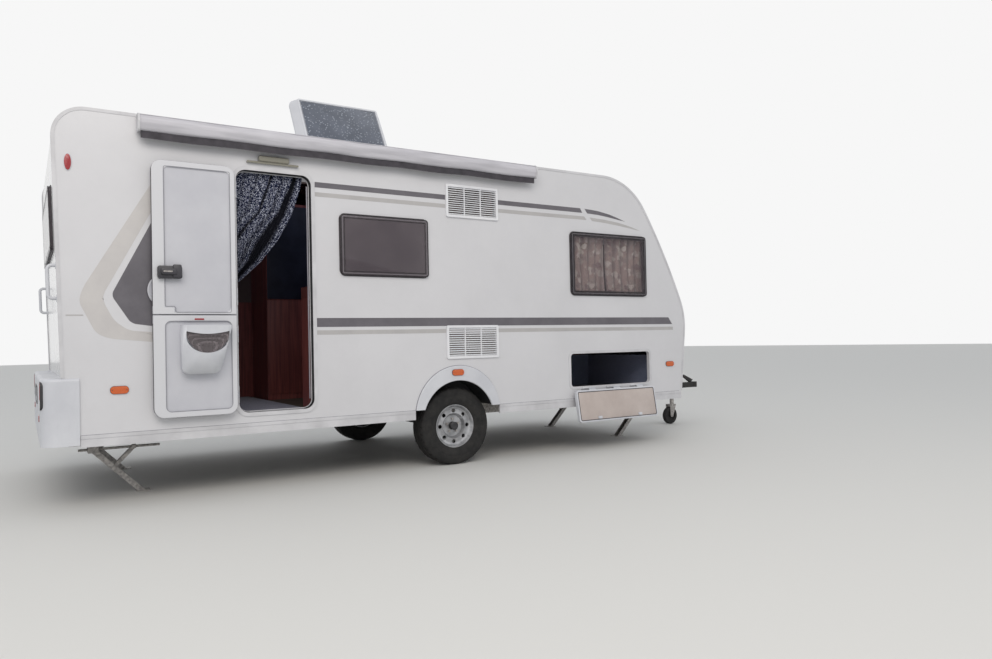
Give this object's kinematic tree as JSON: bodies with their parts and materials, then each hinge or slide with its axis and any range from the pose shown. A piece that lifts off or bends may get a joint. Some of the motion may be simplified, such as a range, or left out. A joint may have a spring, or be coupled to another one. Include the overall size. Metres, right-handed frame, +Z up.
{
  "type": "travel caravan",
  "caption": "Touring caravan on one axle with a bow front, side door folded open, flap, rooflight, corner steadies and jockey wheel.",
  "frame": {"origin": "on the ground under the middle of the whole object's box", "axes": "+X forward to the coupling, +Y to the left, +Z up"},
  "size_m": [7.001, 2.485, 3.1941],
  "materials": {
    "body_panel": "white hammered aluminium sheet, painted",
    "body_moulding": "white glass-fibre panel",
    "floor_board": "plywood sandwich, sealed",
    "black_plastic": "black moulded plastic",
    "white_trim": "white coated aluminium strip",
    "white_plastic": "white moulded plastic",
    "door_liner": "white moulded door skin",
    "flap_liner": "white skin outside, beige inside",
    "window_seal": "dark frame",
    "window_pane": "tinted acrylic",
    "rooflight_pane": "tinted acrylic dome",
    "awning_cloth": "coated cloth bag",
    "red_lens": "red lamp lens",
    "amber_lens": "amber lamp lens",
    "lamp_lens": "cream lamp lens",
    "galvanised": "hot-dip galvanised steel",
    "black_steel": "black painted steel",
    "rim_steel": "silver painted steel wheel",
    "tyre_rubber": "black tyre rubber",
    "solid_rubber": "solid rubber wheel",
    "cabinet_board": "red-brown laminated board",
    "mattress_cloth": "woven cover on foam",
    "curtain_navy": "navy curtain with white sprigs",
    "curtain_floral": "faded brown-pink curtain"
  },
  "bodies": {
    "root": {"side_wall_right": "body_panel", "side_wall_left": "body_panel", "rear_wall": "body_moulding", "roof_panel": "body_moulding", "front_wall": "body_moulding", "floor_panel": "floor_board", "wheel_boxes": "black_plastic", "gas_locker_box": "black_plastic", "corner_rails": "white_trim", "skirt_rails": "white_trim", "door_frame": "white_trim", "hatch_frame": "white_trim", "awning_rail": "white_trim", "curtain_rails": "white_trim", "wheel_arch_trims": "white_plastic", "rear_bumper": "white_plastic", "fridge_vents": "white_plastic", "grab_handles": "white_plastic", "rooflight_kerb": "white_plastic", "window_frames": "window_seal", "window_panes": "window_pane", "awning_bag": "awning_cloth", "tail_lamps": "red_lens", "amber_lamps": "amber_lens", "door_lamp": "lamp_lens", "chassis_rails": "galvanised", "jockey_clamp": "galvanised", "steady_brackets": "galvanised", "axle_beam": "black_steel", "coupling_head": "black_steel", "gas_locker_hinges": "black_steel", "cabinets": "cabinet_board", "bed_bases": "cabinet_board", "bed_mattresses": "mattress_cloth", "door_curtain": "curtain_navy", "window_curtains": "curtain_floral"},
    "wheel_right": {"wheel_right_tyre": "tyre_rubber", "wheel_right_rim": "rim_steel", "wheel_right_drum": "black_steel"},
    "wheel_left": {"wheel_left_tyre": "tyre_rubber", "wheel_left_rim": "rim_steel", "wheel_left_drum": "black_steel"},
    "door_upper": {"door_upper_leaf": "door_liner"},
    "door_lower": {"door_lower_leaf": "door_liner", "door_bin": "white_plastic"},
    "hatch": {"hatch_flap": "flap_liner"},
    "gas_lid": {"gas_locker_lid": "body_moulding"},
    "rooflight": {"rooflight_lid": "white_plastic", "rooflight_pane": "rooflight_pane"},
    "jockey_inner": {"jockey_inner": "galvanised"},
    "jockey_fork": {"jockey_fork": "galvanised"},
    "jockey_wheel": {"jockey_wheel": "solid_rubber"},
    "rear_right_leg": {"steady_rear_right_leg": "galvanised"},
    "rear_right_strut": {"steady_rear_right_strut": "galvanised"},
    "rear_left_leg": {"steady_rear_left_leg": "galvanised"},
    "rear_left_strut": {"steady_rear_left_strut": "galvanised"},
    "front_right_leg": {"steady_front_right_leg": "galvanised"},
    "front_right_strut": {"steady_front_right_strut": "galvanised"},
    "front_left_leg": {"steady_front_left_leg": "galvanised"},
    "front_left_strut": {"steady_front_left_strut": "galvanised"}
  },
  "joints": [
    {"name": "wheel_right_spin", "type": "hinge", "parent": "root", "child": "wheel_right", "pos_m": [-0.5455, -0.9325, 0.32], "axis": [0, 1, 0], "continuous": true},
    {"name": "wheel_left_spin", "type": "hinge", "parent": "root", "child": "wheel_left", "pos_m": [-0.5455, 1.0675, 0.32], "axis": [0, 1, 0], "continuous": true},
    {"name": "door_upper_swing", "type": "hinge", "parent": "root", "child": "door_upper", "pos_m": [-2.3195, -1.1005, 1.7], "axis": [0, 0, 1], "range_deg": [0, 180]},
    {"name": "door_lower_swing", "type": "hinge", "parent": "root", "child": "door_lower", "pos_m": [-2.3195, -1.1005, 0.9], "axis": [0, 0, 1], "range_deg": [0, 180]},
    {"name": "hatch_swing", "type": "hinge", "parent": "root", "child": "hatch", "pos_m": [1.1145, -1.0975, 0.57], "axis": [-1, 0, 0], "range_deg": [0, 170]},
    {"name": "gas_lid_swing", "type": "hinge", "parent": "root", "child": "gas_lid", "pos_m": [2.11509, 0.0675, 1.052], "axis": [0, -1, 0], "range_deg": [0, 95]},
    {"name": "rooflight_swing", "type": "hinge", "parent": "root", "child": "rooflight", "pos_m": [-1.1455, -0.2725, 2.597], "axis": [-1, 0, 0], "range_deg": [0, 60]},
    {"name": "jockey_slide", "type": "slide", "parent": "root", "child": "jockey_inner", "axis": [0, 0, 1], "range_m": [-0.06, 0.15]},
    {"name": "jockey_swivel", "type": "hinge", "parent": "jockey_inner", "child": "jockey_fork", "pos_m": [2.9145, -0.0925, 0.23], "axis": [0, 0, 1], "continuous": true},
    {"name": "jockey_spin", "type": "hinge", "parent": "jockey_fork", "child": "jockey_wheel", "pos_m": [2.8765, -0.0925, 0.1], "axis": [0, 1, 0], "continuous": true},
    {"name": "rear_right_fold", "type": "hinge", "parent": "root", "child": "rear_right_leg", "pos_m": [-3.1755, -0.5175, 0.322], "axis": [0, -1, 0], "range_deg": [0, 40]},
    {"name": "rear_right_strut_turn", "type": "hinge", "parent": "rear_right_leg", "child": "rear_right_strut", "pos_m": [-3.04613, -0.5175, 0.18976], "axis": [0, -1, 0], "range_deg": [-80, 0]},
    {"name": "rear_left_fold", "type": "hinge", "parent": "root", "child": "rear_left_leg", "pos_m": [-3.1755, 0.6525, 0.322], "axis": [0, -1, 0], "range_deg": [0, 40]},
    {"name": "rear_left_strut_turn", "type": "hinge", "parent": "rear_left_leg", "child": "rear_left_strut", "pos_m": [-3.04613, 0.6525, 0.18976], "axis": [0, -1, 0], "range_deg": [-80, 0]},
    {"name": "front_right_fold", "type": "hinge", "parent": "root", "child": "front_right_leg", "pos_m": [1.9795, -0.5175, 0.322], "axis": [0, 1, 0], "range_deg": [0, 40]},
    {"name": "front_right_strut_turn", "type": "hinge", "parent": "front_right_leg", "child": "front_right_strut", "pos_m": [1.85013, -0.5175, 0.18976], "axis": [0, 1, 0], "range_deg": [-80, 0]},
    {"name": "front_left_fold", "type": "hinge", "parent": "root", "child": "front_left_leg", "pos_m": [1.9795, 0.6525, 0.322], "axis": [0, 1, 0], "range_deg": [0, 40]},
    {"name": "front_left_strut_turn", "type": "hinge", "parent": "front_left_leg", "child": "front_left_strut", "pos_m": [1.85013, 0.6525, 0.18976], "axis": [0, 1, 0], "range_deg": [-80, 0]}
  ],
  "couplings": [
    {"joint": "rear_right_strut_turn", "follows": "rear_right_fold", "ratio": -2},
    {"joint": "rear_left_strut_turn", "follows": "rear_left_fold", "ratio": -2},
    {"joint": "front_right_strut_turn", "follows": "front_right_fold", "ratio": -2},
    {"joint": "front_left_strut_turn", "follows": "front_left_fold", "ratio": -2}
  ]
}
